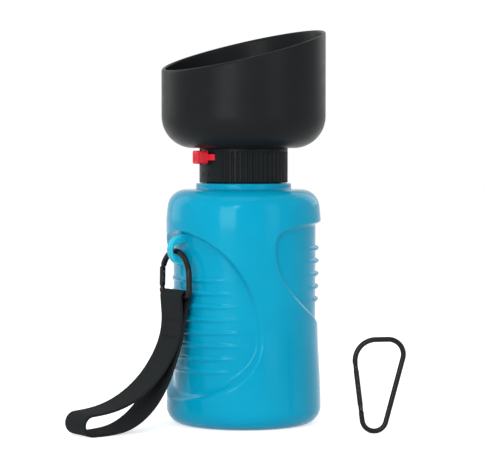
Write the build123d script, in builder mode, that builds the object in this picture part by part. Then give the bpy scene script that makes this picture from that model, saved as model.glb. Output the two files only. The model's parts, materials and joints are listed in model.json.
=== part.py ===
from build123d import *
import math
import os

os.makedirs("parts", exist_ok=True)

# Dog travel water bottle with a bowl that folds down over it. Millimetres and degrees.
# The origin is the centre of the bottle's base. The ring, the lock lever and the low side of the bowl's rim
# face -Y, which is the front.

FRONT = -90.0
BACK = 90.0

# ---- driving dimensions: bottle
bottle_r = 40.0
base_corner_r = 9.0
waist_inset = 1.6
waist_z = 55.0
chest_z = 104.0
shoulder_z = 121.2
shoulder_r = 8.4
shoulder_inset = 0.7
bottle_wall = 2.7
flange_lip = 1.75
flange_height = 3.2
neck_wall = 3.25
neck_height = 9.6

# ---- driving dimensions: grip panels and their ribs
front_recess = 3.7
front_panel_low = 16.0
front_panel_wide = 45.0
front_panel_high = 99.8
front_panel_half_deg = 69.5
back_recess = 2.7
back_panel_low = 49.8
back_panel_wide = 91.0
back_panel_high = 104.0
back_panel_half_deg = 97.8
front_rib_top_z = 75.8
front_rib_count = 8
front_rib_proud = 1.2
front_rib_share = 0.76
back_rib_top_z = 90.9
back_rib_count = 5
back_rib_proud = 1.6
back_rib_share = 0.70
rib_pitch = 6.6
rib_r = 1.25

# ---- driving dimensions: lug and snap ring
lug_z = 91.0
lug_hole_r = 2.7
lug_rim = 1.2
lug_width = 4.6
lug_disc_r = 7.9
lug_edge_r = 0.5
ring_wire_r = 1.5
ring_gap_to_recess = 3.4
ring_width = 29.0
ring_height = 25.8
ring_corner_r = 5.0
ring_drop_in_hole = 0.8

# ---- driving dimensions: cap, thread and valve
cap_r = 22.85
cap_height = 17.8
cap_gap = 0.3
cap_wall = 2.45
cap_band = 1.8
cap_rib_pitch_deg = 6.667
cap_groove_r = 0.85
cap_groove_depth = 0.62
thread_pitch = 4.0
thread_height = 1.25
thread_root_half = 1.1
thread_crest_half = 0.5
thread_gap = 0.4
neck_thread_turns = 1.25
cap_thread_turns = 1.0
thread_start = 2.2
gasket_t = 1.2
deck_t = 1.6
valve_seal_t = 0.75
valve_disc_t = 2.0
valve_gap = 0.1
port_r = 2.2
port_inset = 8.4
port_count = 6
pivot_r = 2.5
pivot_gap = 0.08
fit_gap = 0.15
edge_r = 0.6

# ---- driving dimensions: lock
lock_travel_deg = 24.0
lock_rest_deg = -5.0
smooth_from_deg = -48.0
smooth_to_deg = 29.0
pocket_depth = 1.25
pocket_height = 8.0
pocket_end_gap_deg = 2.3
slider_gap = 0.25
slider_t = 0.75
slider_height = 3.1
slider_left_deg = 9.0
slider_right_deg = 21.0
lever_width = 5.4
lever_height = 6.8
lever_proud = 5.5
shank_width = 3.0
shank_height = 1.5
notch_depth = 3.2

# ---- driving dimensions: bowl and outlet cover
bowl_fold_gap = 0.4
bowl_wall = 2.0
bowl_corner_r = 16.5
bowl_floor_t = 2.2
bowl_grip = 3.4
bowl_axis_height = 50.6
bowl_rim_slope = 0.27
cover_lip = 0.6
cover_t = 2.6
peg_r = 1.2
peg_inset = 5.2
peg_count = 3
cover_hole_r = 1.9

# ---- driving dimensions: wrist strap
strap_width = 20.0
strap_t = 1.45
strap_bar_gap = 0.5
strap_bite = 0.1
strap_reach = 99.2
strap_end_height = 11.6

# ---- driving dimensions: spare carabiner
spare_gap = 38.2
spare_side_deg = 23.8
spare_turn_deg = 57.0
spare_wire_r = 1.3
spare_height = 48.7
spare_left_x = -5.49
spare_right_x = 4.47
spare_left_lean = -0.123
spare_right_lean = 0.2645
spare_top_lean = 0.06
spare_bottom_r = 6.0
spare_top_left_r = 10.5
spare_top_right_r = 7.5
spare_gate_low = 11.0
spare_gate_length = 21.0

# ---- driving dimensions: sprung gates, as shares of the wire they are made from
tongue_share = 0.36
tongue_gap = 0.15
gate_end_gap = 0.25
gate_pin_share = 0.3
gate_pin_gap = 0.05
gate_bore_share = 0.5
spring_wire_r = 0.12
spring_turns = 7
ring_gate_length = 8.2
ring_gate_lean = 0.3
tongue_width_share = 0.85

# ---- widths that follow
waist_r = bottle_r - waist_inset
shoulder_side_r = bottle_r - shoulder_inset
chamber_r = cap_r - cap_wall
neck_r = chamber_r - thread_gap - thread_height
neck_bore_r = neck_r - neck_wall
flange_r = cap_r + flange_lip
port_circle_r = chamber_r - port_inset
bowl_hole_r = chamber_r - bowl_grip
cover_r = chamber_r + cover_lip
peg_circle_r = chamber_r - peg_inset

# ---- heights that follow
neck_low_z = shoulder_z + flange_height
neck_top_z = neck_low_z + neck_height
cap_low_z = neck_low_z + cap_gap
cap_top_z = cap_low_z + cap_height
gasket_top_z = neck_top_z + gasket_t
deck_top_z = gasket_top_z + deck_t
lower_seal_top_z = deck_top_z + valve_seal_t
disc_low_z = lower_seal_top_z + valve_gap
disc_top_z = disc_low_z + valve_disc_t
upper_seal_low_z = disc_top_z + valve_gap
upper_seal_top_z = upper_seal_low_z + valve_seal_t
lever_mid_z = (disc_low_z + disc_top_z) / 2 - 0.8
bowl_floor_z = cap_top_z + bowl_floor_t
front_r = bottle_r - front_recess
back_r = bottle_r - back_recess
pocket_r = cap_r - pocket_depth
ring_y = -(front_r + ring_wire_r + ring_gap_to_recess)
lug_outer_r = -ring_y + lug_hole_r + lug_rim
ring_top_z = lug_z - ring_drop_in_hole
ring_bar_z = ring_top_z + 2 * ring_wire_r - ring_height


def finish(part, label):
    """Name a finished piece and write it."""
    part.label = label
    export_step(part, f"parts/{label}.step")


def polar(radius, degrees, z=0.0):
    """Point at a radius and a heading around the bottle's axis."""
    return (radius * math.cos(math.radians(degrees)), radius * math.sin(math.radians(degrees)), z)


def sector(inner, outer, start_deg, sweep_deg):
    """Flat piece of a ring between two radii, about the origin."""
    with BuildSketch() as piece:
        with BuildLine():
            near = CenterArc((0, 0), inner, start_deg, sweep_deg)
            far = CenterArc((0, 0), outer, start_deg, sweep_deg)
            Line(near @ 0, far @ 0)
            Line(near @ 1, far @ 1)
        make_face()
    return piece.sketch


# ---- bottle

def panel_half_deg(z, low, wide, high, half_deg, top_power):
    """Half-angle of an egg-shaped panel at a height: an ellipse below its widest line, a squarer curve above."""
    if z < wide:
        share = (wide - z) / (wide - low)
        return half_deg * math.sqrt(max(0.0, 1 - share**2))
    share = (z - wide) / (high - wide)
    return half_deg * max(0.0, 1 - share**top_power) ** (1 / top_power)


def front_half_deg(z, margin=0.0):
    grow = math.degrees(margin / front_r)
    return grow + panel_half_deg(
        z,
        front_panel_low - margin,
        front_panel_wide,
        front_panel_high + margin,
        front_panel_half_deg,
        2,
    )


def back_half_deg(z, margin=0.0):
    grow = math.degrees(margin / back_r)
    return grow + panel_half_deg(
        z,
        back_panel_low - margin,
        back_panel_wide,
        back_panel_high + margin,
        back_panel_half_deg,
        4,
    )


def panel_heights(low, wide, high, steps):
    """Heights up a panel, closer together towards its two ends."""
    below = [wide - (wide - low) * math.sin(math.radians(82 * i / steps)) for i in range(steps, 0, -1)]
    above = [wide + (high - wide) * math.sin(math.radians(82 * i / steps)) for i in range(steps + 1)]
    return below + above


def panel_wedge(heading, half_deg, heights, inner):
    """Everything outside a radius within a panel's outline."""
    with BuildPart() as wedge:
        for z in heights:
            half = half_deg(z)
            with BuildSketch(Plane.XY.offset(z)):
                add(sector(inner / 2, bottle_r + 8, heading - half, 2 * half))
        loft(ruled=True)
        with BuildSketch(Plane.XY.offset(heights[0] - 1)):
            Circle(inner)
        extrude(amount=heights[-1] - heights[0] + 2, mode=Mode.SUBTRACT)
    return wedge.part


def bottle_profile(inset, neck):
    """Half section of the bottle, moved inwards by the inset."""
    top = shoulder_z - inset
    with BuildSketch() as profile:
        with BuildLine():
            base = Line((0, inset), (bottle_r - base_corner_r, inset))
            foot = TangentArc(base @ 1, (bottle_r - inset, base_corner_r), tangent=(1, 0))
            side = Spline(
                foot @ 1,
                (waist_r - inset, waist_z),
                (bottle_r - inset, chest_z - 1),
                (shoulder_side_r - inset, shoulder_z - shoulder_r),
                tangents=[(0, 1), (-0.12, 1)],
            )
            shoulder = TangentArc(side @ 1, (shoulder_side_r - shoulder_r, top), tangent=side % 1)
            if neck:
                Polyline(
                    shoulder @ 1,
                    (flange_r, top),
                    (flange_r, neck_low_z),
                    (neck_r, neck_low_z),
                    (neck_r, neck_top_z),
                    (0, neck_top_z),
                    base @ 0,
                )
            else:
                bore_top_z = neck_top_z + 1
                Polyline(shoulder @ 1, (neck_bore_r, top), (neck_bore_r, bore_top_z), (0, bore_top_z), base @ 0)
        make_face()
    return profile.sketch


def rib(heading, surface_r, z, proud, half_deg):
    """Raised rib that tapers to nothing: a ring set nearer the panel than the bottle, so its ends sink in."""
    crest = surface_r + proud
    shift = (crest**2 - surface_r**2) / (2 * (crest - surface_r * math.cos(math.radians(half_deg))))
    across = surface_r * math.sin(math.radians(half_deg))
    along = surface_r * math.cos(math.radians(half_deg)) - shift
    half_turn = math.degrees(math.atan2(across, along))
    start = math.radians(heading - half_turn)
    axis_point = polar(shift, heading, z)
    out = (math.cos(start), math.sin(start), 0)
    side = (math.sin(start), -math.cos(start), 0)
    with BuildPart() as ridge:
        with BuildSketch(Plane(origin=axis_point, x_dir=out, z_dir=side)):
            with Locations((crest - shift - rib_r, 0)):
                Circle(rib_r)
        revolve(axis=Axis(axis_point, (0, 0, 1)), revolution_arc=2 * half_turn)
    return ridge.part


def thread(root_r, inward, start_z, turns):
    """Helical ridge that stands out of a wall at the root radius."""
    side = -1 if inward else 1
    with BuildPart() as ridge:
        with BuildLine() as path:
            Helix(pitch=thread_pitch, height=thread_pitch * turns, radius=root_r, center=(0, 0, start_z))
        with BuildSketch(Plane(origin=path.line @ 0, x_dir=(1, 0, 0), z_dir=path.line % 0)):
            with BuildLine():
                Polyline(
                    (-side * 0.3, -thread_root_half),
                    (side * thread_height, -thread_crest_half),
                    (side * thread_height, thread_crest_half),
                    (-side * 0.3, thread_root_half),
                    close=True,
                )
            make_face()
        sweep(is_frenet=True)
    return ridge.part


front_heights = panel_heights(front_panel_low, front_panel_wide, front_panel_high, 6)
back_heights = panel_heights(back_panel_low, back_panel_wide, back_panel_high, 6)
front_inner_heights = panel_heights(
    front_panel_low - bottle_wall, front_panel_wide, front_panel_high + bottle_wall, 6
)
back_inner_heights = panel_heights(back_panel_low - bottle_wall, back_panel_wide, back_panel_high + bottle_wall, 6)

with BuildPart() as cavity:
    with BuildSketch(Plane.XZ):
        add(bottle_profile(bottle_wall, neck=False))
    revolve(axis=Axis.Z)
    add(
        panel_wedge(FRONT, lambda z: front_half_deg(z, bottle_wall), front_inner_heights, front_r - bottle_wall),
        mode=Mode.SUBTRACT,
    )
    add(
        panel_wedge(BACK, lambda z: back_half_deg(z, bottle_wall), back_inner_heights, back_r - bottle_wall),
        mode=Mode.SUBTRACT,
    )

with BuildPart() as lug:
    with BuildSketch(Plane.YZ):
        with Locations((-(lug_outer_r - lug_disc_r), lug_z)):
            Circle(lug_disc_r)
        with Locations((ring_y, lug_z)):
            Circle(lug_hole_r, mode=Mode.SUBTRACT)
    extrude(amount=lug_width / 2, both=True)
    fillet(lug.edges().filter_by(GeomType.CIRCLE), lug_edge_r)
    with BuildSketch(Plane.XY.offset(lug_z - 2 * lug_disc_r)):
        Circle(front_r - bottle_wall / 2)
    extrude(amount=4 * lug_disc_r, mode=Mode.SUBTRACT)

front_ribs = []
for i in range(front_rib_count):
    rib_z = front_rib_top_z - i * rib_pitch
    front_ribs.append(rib(FRONT, front_r, rib_z, front_rib_proud, front_rib_share * front_half_deg(rib_z)))
back_ribs = []
for i in range(back_rib_count):
    rib_z = back_rib_top_z - i * rib_pitch
    back_ribs.append(rib(BACK, back_r, rib_z, back_rib_proud, back_rib_share * back_half_deg(rib_z)))

with BuildPart() as bottle_shell:
    with BuildSketch(Plane.XZ):
        add(bottle_profile(0, neck=True))
    revolve(axis=Axis.Z)
    add(panel_wedge(FRONT, front_half_deg, front_heights, front_r), mode=Mode.SUBTRACT)
    add(panel_wedge(BACK, back_half_deg, back_heights, back_r), mode=Mode.SUBTRACT)
    add(cavity.part, mode=Mode.SUBTRACT)
    add(front_ribs + back_ribs, clean=False)
    add(lug.part)
    add(thread(neck_r, False, neck_low_z + thread_start, neck_thread_turns))
finish(bottle_shell.part, "bottle_shell")


# ---- cap

def ports(hole_r, turn_deg=0.0):
    """Ring of round ports about the origin."""
    with BuildSketch() as holes:
        with PolarLocations(port_circle_r, port_count, start_angle=turn_deg):
            Circle(hole_r)
    return holes.sketch


with BuildPart() as neck_gasket:
    with BuildSketch(Plane.XY.offset(neck_top_z)):
        Circle(chamber_r - fit_gap)
        Circle(neck_bore_r, mode=Mode.SUBTRACT)
    extrude(amount=gasket_t)
finish(neck_gasket.part, "neck_gasket")

slider_start_deg = FRONT + lock_rest_deg - lock_travel_deg - slider_left_deg - pocket_end_gap_deg
slider_sweep_deg = lock_travel_deg + slider_left_deg + slider_right_deg + 2 * pocket_end_gap_deg
with BuildPart() as pocket:
    with BuildSketch(Plane.XY.offset(lever_mid_z - pocket_height / 2)):
        add(sector(pocket_r, cap_r + 2, slider_start_deg, slider_sweep_deg))
    extrude(amount=pocket_height)
    radial = [e for e in pocket.edges().filter_by(GeomType.LINE) if abs((e % 0).Z) < 0.5]
    fillet(radial, pocket_height / 2 - 0.3)

slot_half_deg = math.degrees((shank_width / 2 + fit_gap) / chamber_r)
grooved_sweep_deg = 360 - (smooth_to_deg - smooth_from_deg)
groove_count = int(grooved_sweep_deg / cap_rib_pitch_deg)
with BuildPart() as cap_shell:
    with BuildSketch(Plane.XY.offset(cap_low_z)):
        Circle(cap_r)
    extrude(amount=cap_height)
    fillet(cap_shell.edges().group_by(Axis.Z)[0], edge_r)
    with BuildSketch(Plane.XY.offset(cap_low_z)):
        Circle(neck_r + thread_height + thread_gap)
    extrude(amount=gasket_top_z - cap_low_z, mode=Mode.SUBTRACT)
    with BuildSketch(Plane.XY.offset(deck_top_z)):
        Circle(chamber_r)
    extrude(amount=cap_top_z - deck_top_z, mode=Mode.SUBTRACT)
    with BuildSketch(Plane.XY.offset(gasket_top_z)):
        add(ports(port_r))
    extrude(amount=deck_t, mode=Mode.SUBTRACT)
    with BuildSketch(Plane.XY.offset(deck_top_z)):
        Circle(pivot_r)
    extrude(amount=upper_seal_top_z - deck_top_z)
    with BuildSketch(Plane.XY.offset(cap_low_z)):
        with PolarLocations(
            cap_r + cap_groove_r - cap_groove_depth,
            groove_count,
            start_angle=FRONT + smooth_to_deg,
            angular_range=grooved_sweep_deg,
            endpoint=True,
        ):
            Circle(cap_groove_r)
    extrude(amount=cap_height - cap_band, mode=Mode.SUBTRACT)
    add(pocket.part, mode=Mode.SUBTRACT)
    with BuildSketch(Plane.XY.offset(disc_low_z - fit_gap)):
        slot_start_deg = FRONT + lock_rest_deg - lock_travel_deg - slot_half_deg
        add(sector(chamber_r - 1, cap_r + 1, slot_start_deg, lock_travel_deg + 2 * slot_half_deg))
    extrude(amount=valve_disc_t + 2 * fit_gap, mode=Mode.SUBTRACT)
    add(
        thread(
            neck_r + thread_height + thread_gap,
            True,
            neck_low_z + thread_start + thread_pitch / 2,
            cap_thread_turns,
        )
    )
finish(cap_shell.part, "cap_shell")

for seal_name, seal_low_z in (("valve_seal_lower", deck_top_z), ("valve_seal_upper", upper_seal_low_z)):
    with BuildPart() as valve_seal:
        with BuildSketch(Plane.XY.offset(seal_low_z)):
            Circle(port_circle_r + port_r + 2.5)
            Circle(pivot_r + fit_gap, mode=Mode.SUBTRACT)
            add(ports(port_r), mode=Mode.SUBTRACT)
        extrude(amount=valve_seal_t)
    finish(valve_seal.part, seal_name)

with BuildPart() as cap_deck:
    with BuildSketch(Plane.XY.offset(upper_seal_top_z)):
        Circle(chamber_r - fit_gap)
        add(ports(port_r), mode=Mode.SUBTRACT)
        with PolarLocations(peg_circle_r, peg_count, start_angle=30):
            Circle(peg_r + pivot_gap, mode=Mode.SUBTRACT)
    extrude(amount=cap_top_z - upper_seal_top_z)
finish(cap_deck.part, "cap_deck")

with BuildPart() as outlet_cover:
    with BuildSketch(Plane.XY.offset(bowl_floor_z)):
        Circle(cover_r)
    extrude(amount=cover_t)
    fillet(outlet_cover.edges().group_by(Axis.Z)[-1], cover_t * 0.6)
    with BuildSketch(Plane.XY.offset(cap_top_z)):
        Circle(bowl_hole_r - fit_gap)
    extrude(amount=bowl_floor_t)
    with BuildSketch(Plane.XY.offset(cap_top_z)):
        add(ports(cover_hole_r))
    extrude(amount=bowl_floor_t + cover_t, mode=Mode.SUBTRACT)
    with BuildSketch(Plane.XY.offset(upper_seal_top_z)):
        with PolarLocations(peg_circle_r, peg_count, start_angle=30):
            Circle(peg_r)
    extrude(amount=cap_top_z - upper_seal_top_z)
finish(outlet_cover.part, "outlet_cover")


# ---- lock

lever_deg = FRONT + lock_rest_deg
lever_x, lever_y, _ = polar(1, lever_deg)
disc_r = chamber_r - 4 * fit_gap
with BuildPart() as valve_disc:
    with BuildSketch(Plane.XY.offset(disc_low_z)):
        Circle(disc_r)
        Circle(pivot_r + pivot_gap, mode=Mode.SUBTRACT)
        add(ports(port_r, lock_travel_deg), mode=Mode.SUBTRACT)
        with PolarLocations(disc_r, 1, start_angle=lever_deg):
            Rectangle(2 * notch_depth, shank_width + 2 * fit_gap, mode=Mode.SUBTRACT)
    extrude(amount=valve_disc_t)
finish(valve_disc.part, "valve_disc")

plate_r = pocket_r + slider_gap
shank_inner_r = disc_r - notch_depth + fit_gap
lever_plane = Plane(
    origin=(lever_x * plate_r, lever_y * plate_r, lever_mid_z),
    x_dir=(-lever_y, lever_x, 0),
    z_dir=(lever_x, lever_y, 0),
)
shank_plane = Plane(
    origin=(lever_x * shank_inner_r, lever_y * shank_inner_r, (disc_low_z + disc_top_z) / 2),
    x_dir=(-lever_y, lever_x, 0),
    z_dir=(lever_x, lever_y, 0),
)
with BuildPart() as lock_slider:
    with BuildSketch(lever_plane):
        RectangleRounded(lever_width, lever_height, 0.9)
    extrude(amount=cap_r + lever_proud - plate_r)
    fillet(lock_slider.faces().sort_by(Axis((0, 0, 0), (lever_x, lever_y, 0)))[-1].edges(), edge_r)
    with BuildSketch(Plane.XY.offset(lever_mid_z - slider_height / 2)):
        plate_start_deg = lever_deg - slider_left_deg
        add(sector(plate_r, plate_r + slider_t, plate_start_deg, slider_left_deg + slider_right_deg))
    extrude(amount=slider_height)
    with BuildSketch(shank_plane):
        Rectangle(shank_width, shank_height)
    extrude(amount=plate_r + slider_t - shank_inner_r)
finish(lock_slider.part, "lock_slider")


# ---- bowl

bowl_outer_r = bottle_r + bowl_fold_gap + bowl_wall
bowl_high_z = cap_top_z + bowl_axis_height + bowl_rim_slope * bowl_outer_r + 5
rim_plane = Plane(
    origin=(0, 0, cap_top_z + bowl_axis_height),
    x_dir=(1, 0, 0),
    z_dir=(0, -bowl_rim_slope, 1),
)
with BuildPart() as bowl:
    with BuildSketch(Plane.XZ):
        with BuildLine():
            under = Line((bowl_hole_r, cap_top_z), (bowl_outer_r - bowl_corner_r, cap_top_z))
            heel = RadiusArc(under @ 1, (bowl_outer_r, cap_top_z + bowl_corner_r), -bowl_corner_r)
            inside_heel_r = bowl_corner_r - bowl_wall
            inside_floor_r = bowl_outer_r - bowl_wall - inside_heel_r
            outside = Line(heel @ 1, (bowl_outer_r, bowl_high_z))
            top = Line(outside @ 1, (bowl_outer_r - bowl_wall, bowl_high_z))
            inside = Line(top @ 1, (bowl_outer_r - bowl_wall, bowl_floor_z + inside_heel_r))
            inner_heel = RadiusArc(inside @ 1, (inside_floor_r, bowl_floor_z), inside_heel_r)
            floor = Line(inner_heel @ 1, (bowl_hole_r, bowl_floor_z))
            Line(floor @ 1, under @ 0)
        make_face()
    revolve(axis=Axis.Z)
    split(bisect_by=rim_plane, keep=Keep.BOTTOM)
    rim_face = bowl.faces().filter_by(GeomType.PLANE).sort_by(Axis.Z)[-1]
    fillet(rim_face.edges(), bowl_wall * 0.35)
finish(bowl.part, "bowl")


# ---- wire rings with sprung gates

def heading_of(start, end):
    """Heading of the line between two points of a wire's plane."""
    return math.degrees(math.atan2(end[1] - start[1], end[0] - start[0]))


def step_towards(start, heading, length):
    """Point a length away from another, along a heading."""
    return (
        start[0] + length * math.cos(math.radians(heading)),
        start[1] + length * math.sin(math.radians(heading)),
    )


def plane_along(plane, point, heading):
    """Plane at a point of a wire's plane, square to a heading in it, with its X towards that heading's right."""
    across = plane.from_local_coords(Vector(*step_towards((0, 0), heading - 90, 1))) - plane.origin
    along = plane.from_local_coords(Vector(*step_towards((0, 0), heading, 1))) - plane.origin
    return Plane(origin=plane.from_local_coords(Vector(*point)), x_dir=across, z_dir=along)


def tongue(plane, pivot, shoulder, wire_r, hook_heading=None):
    """Flat tongue from a wire's end to round a pivot point. A hooked one is open along a heading."""
    hole_r = (gate_pin_share + gate_pin_gap) * wire_r
    width = tongue_width_share * 2 * wire_r
    heading = heading_of(shoulder, pivot)
    reach = math.dist(shoulder, pivot)
    middle = ((shoulder[0] + pivot[0]) / 2, (shoulder[1] + pivot[1]) / 2)
    with BuildPart() as tab:
        with BuildSketch(plane):
            with Locations(middle):
                SlotCenterToCenter(reach, width, rotation=heading)
            with Locations(pivot):
                Circle(hole_r, mode=Mode.SUBTRACT)
            if hook_heading is not None:
                with Locations(step_towards(pivot, hook_heading, wire_r)):
                    Rectangle(2 * wire_r, 2 * hole_r, rotation=hook_heading, mode=Mode.SUBTRACT)
        extrude(amount=tongue_share * wire_r, both=True)
    return tab.part


def gate_rod(plane, pivot, nose, wire_r):
    """Straight gate with rounded ends, a bore for its spring, a slot at each end and two pin holes."""
    heading = heading_of(pivot, nose)
    length = math.dist(pivot, nose)
    slot_half = (tongue_share + tongue_gap) * wire_r
    shoulder = (1 + gate_end_gap) * wire_r
    rod_plane = plane_along(plane, pivot, heading)
    with BuildPart() as rod:
        with BuildSketch(rod_plane):
            Circle(wire_r)
        extrude(amount=length)
        with Locations(rod_plane.origin, rod_plane.offset(length).origin):
            Sphere(wire_r)
        with BuildSketch(rod_plane.offset(shoulder)):
            Circle(gate_bore_share * wire_r)
        extrude(amount=length - 2 * shoulder, mode=Mode.SUBTRACT)
        for low in (-shoulder, length - shoulder):
            with BuildSketch(rod_plane.offset(low)):
                Rectangle(4 * wire_r, 2 * slot_half)
            extrude(amount=2 * shoulder, mode=Mode.SUBTRACT)
        with BuildSketch(plane):
            with Locations(pivot, nose):
                Circle(gate_pin_share * wire_r)
        extrude(amount=2 * wire_r, both=True, mode=Mode.SUBTRACT)
    return rod.part


def gate_pin(plane, point, wire_r):
    """Cross pin through a gate's fork, a little short of the gate's own width."""
    with BuildPart() as pin:
        with BuildSketch(plane):
            with Locations(point):
                Circle(gate_pin_share * wire_r)
        extrude(amount=0.9 * wire_r, both=True)
    return pin.part


def gate_spring(plane, pivot, nose, wire_r):
    """Coil spring that lies in the gate's bore."""
    heading = heading_of(pivot, nose)
    start = (1 + gate_end_gap) * wire_r + 0.4
    length = math.dist(pivot, nose) - 2 * start
    coil_plane = plane_along(plane, step_towards(pivot, heading, start), heading)
    coil_r = gate_bore_share * wire_r - 2 * spring_wire_r
    with BuildPart() as spring:
        with BuildLine() as path:
            Helix(length / spring_turns, length, coil_r, center=coil_plane.origin, direction=coil_plane.z_dir)
        with BuildSketch(Plane(origin=path.line @ 0, z_dir=path.line % 0)):
            Circle(spring_wire_r)
        sweep(is_frenet=True)
    return spring.part


def gate_pieces(prefix, plane, pivot, nose, wire_r):
    """Gate, its two cross pins and its spring, between a pivot and a nose in a wire's plane."""
    finish(gate_rod(plane, pivot, nose, wire_r), f"{prefix}_gate")
    finish(gate_pin(plane, pivot, wire_r), f"{prefix}_gate_pin")
    finish(gate_pin(plane, nose, wire_r), f"{prefix}_latch_pin")
    finish(gate_spring(plane, pivot, nose, wire_r), f"{prefix}_gate_spring")


# Snap ring: square at the bottom, round at the top, with its gate in the -X leg.
ring_plane = Plane(origin=(0, ring_y, 0), x_dir=(1, 0, 0), z_dir=(0, -1, 0))
ring_half = ring_width / 2 - ring_wire_r
ring_arc_z = ring_top_z - ring_half
ring_end_gap = (1 + gate_end_gap) * ring_wire_r
ring_pivot = (-ring_half, ring_bar_z + ring_corner_r + 0.4)
ring_nose = (-ring_half + ring_gate_lean, ring_pivot[1] + ring_gate_length)
ring_end_z = ring_nose[1] + ring_end_gap
ring_end_x = -math.sqrt(ring_half**2 - (ring_end_z - ring_arc_z) ** 2)
with BuildPart() as ring_body:
    with BuildLine(ring_plane) as ring_path:
        over = ThreePointArc((ring_end_x, ring_end_z), (0, ring_top_z), (ring_half, ring_arc_z))
        FilletPolyline(
            (ring_half, ring_arc_z),
            (ring_half, ring_bar_z),
            (-ring_half, ring_bar_z),
            (-ring_half, ring_pivot[1] - ring_end_gap),
            radius=ring_corner_r - 1.6,
        )
    with BuildSketch(Plane(origin=ring_path.line @ 0, z_dir=ring_path.line % 0)):
        Circle(ring_wire_r)
    sweep()
    add(tongue(ring_plane, ring_pivot, (-ring_half, ring_pivot[1] - ring_end_gap), ring_wire_r))
    add(tongue(ring_plane, ring_nose, (ring_end_x, ring_end_z), ring_wire_r, 0))
finish(ring_body.part, "ring_body")
gate_pieces("ring", ring_plane, ring_pivot, ring_nose, ring_wire_r)


# ---- wrist strap: one webbing loop round the ring's bar, sewn together below it

def bend_radii(points):
    """Radius at each inner corner: as large as its two runs allow."""
    radii = []
    for before, here, after in zip(points, points[1:], points[2:]):
        run = min(math.dist(before, here), math.dist(here, after))
        turn = abs((heading_of(here, after) - heading_of(before, here) + 180) % 360 - 180)
        radii.append(0.45 * run / math.tan(math.radians(turn / 2)))
    return radii


# Points run from the bar down the outer leg, round the end and back up the inner leg, in Y and Z.
loop_r = ring_wire_r + strap_bar_gap + strap_t / 2
pair_half = (strap_t - strap_bite) / 2
end_top_z = strap_end_height - strap_t / 2
end_low_z = strap_t / 2
end_turn_r = (end_top_z - end_low_z) / 2
end_y = -(strap_reach - end_turn_r)
outer_leg = [
    (ring_y - loop_r, ring_bar_z),
    (ring_y - loop_r + 0.5, ring_bar_z - 6.0),
    (ring_y - 1.1 - pair_half, ring_bar_z - 12.0),
    (ring_y - 2.3 - pair_half, ring_bar_z - 20.5),
    (ring_y - 6.8, ring_bar_z - 29.2),
    (ring_y - 13.8, ring_bar_z - 39.0),
    (end_y + 30.1, end_top_z + 9.5),
    (end_y + 19.5, end_top_z + 3.7),
    (end_y + 8.1, end_top_z + 0.6),
    (end_y, end_top_z),
]
inner_leg = [
    (end_y, end_low_z),
    (end_y + 10.1, end_low_z),
    (end_y + 22.3, end_low_z + 2.3),
    (ring_y - 19.2, end_low_z + 10.1),
    (ring_y - 10.8, ring_bar_z - 45.0),
    (ring_y - 5.8, ring_bar_z - 33.0),
    (ring_y - 2.3 + pair_half, ring_bar_z - 20.5),
    (ring_y - 1.1 + pair_half, ring_bar_z - 12.0),
    (ring_y + loop_r - 1.6, ring_bar_z - 6.0),
    (ring_y + loop_r, ring_bar_z),
]
with BuildLine() as outer_path:
    FilletPolyline(*outer_leg, radius=bend_radii(outer_leg))
with BuildLine() as end_path:
    ThreePointArc(outer_leg[-1], (end_y - end_turn_r, (end_top_z + end_low_z) / 2), inner_leg[0])
with BuildLine() as inner_path:
    FilletPolyline(*inner_leg, radius=bend_radii(inner_leg))
with BuildLine() as bar_path:
    ThreePointArc(inner_leg[-1], (ring_y, ring_bar_z + loop_r), outer_leg[0])
strap_paths = [outer_path, end_path, inner_path, bar_path]
with BuildPart() as strap:
    with BuildSketch(Plane.YZ):
        for strap_path in strap_paths:
            trace(strap_path.line, line_width=strap_t)
    extrude(amount=strap_width / 2, both=True)
strap_length = sum(strap_path.wires()[0].length for strap_path in strap_paths)
print("strap length", round(strap_length, 1), "volume share", strap.part.volume / (strap_length * strap_width * strap_t))
finish(strap.part, "strap")


# ---- spare carabiner: stands on its narrow end beside the bottle

spare_x, spare_y, _ = polar(bottle_r + spare_gap, spare_side_deg)
spare_heading = math.radians(spare_turn_deg)
spare_plane = Plane(
    origin=(spare_x, spare_y, spare_wire_r),
    x_dir=(math.cos(spare_heading), math.sin(spare_heading), 0),
    z_dir=(math.sin(spare_heading), -math.cos(spare_heading), 0),
)
spare_top = spare_height - 2 * spare_wire_r


def left_x(height):
    return spare_left_x + spare_left_lean * height


def right_x(height):
    return spare_right_x + spare_right_lean * height


meet = (spare_left_x - spare_right_x) / (spare_right_lean - spare_left_lean)
left_top = spare_top - spare_top_lean * 10
spare_end_gap = (1 + gate_end_gap) * spare_wire_r
spare_pivot = (left_x(spare_gate_low), spare_gate_low)
spare_nose = (left_x(spare_gate_low + spare_gate_length), spare_gate_low + spare_gate_length)
spare_low_end = (left_x(spare_gate_low - spare_end_gap), spare_gate_low - spare_end_gap)
spare_high_end = (left_x(spare_nose[1] + spare_end_gap), spare_nose[1] + spare_end_gap)
spare_corners = [
    spare_high_end,
    (left_x(left_top), left_top),
    (right_x(spare_top), spare_top),
    (right_x(meet), meet),
    spare_low_end,
]
with BuildPart() as carabiner_body:
    with BuildLine(spare_plane) as spare_path:
        FilletPolyline(*spare_corners, radius=[spare_top_left_r, spare_top_right_r, spare_bottom_r])
    with BuildSketch(Plane(origin=spare_path.line @ 0, z_dir=spare_path.line % 0)):
        Circle(spare_wire_r)
    sweep()
    add(tongue(spare_plane, spare_pivot, spare_low_end, spare_wire_r))
    add(tongue(spare_plane, spare_nose, spare_high_end, spare_wire_r, heading_of(spare_pivot, spare_nose) - 90))
finish(carabiner_body.part, "carabiner_body")
gate_pieces("carabiner", spare_plane, spare_pivot, spare_nose, spare_wire_r)
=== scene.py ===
import json
import math

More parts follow.
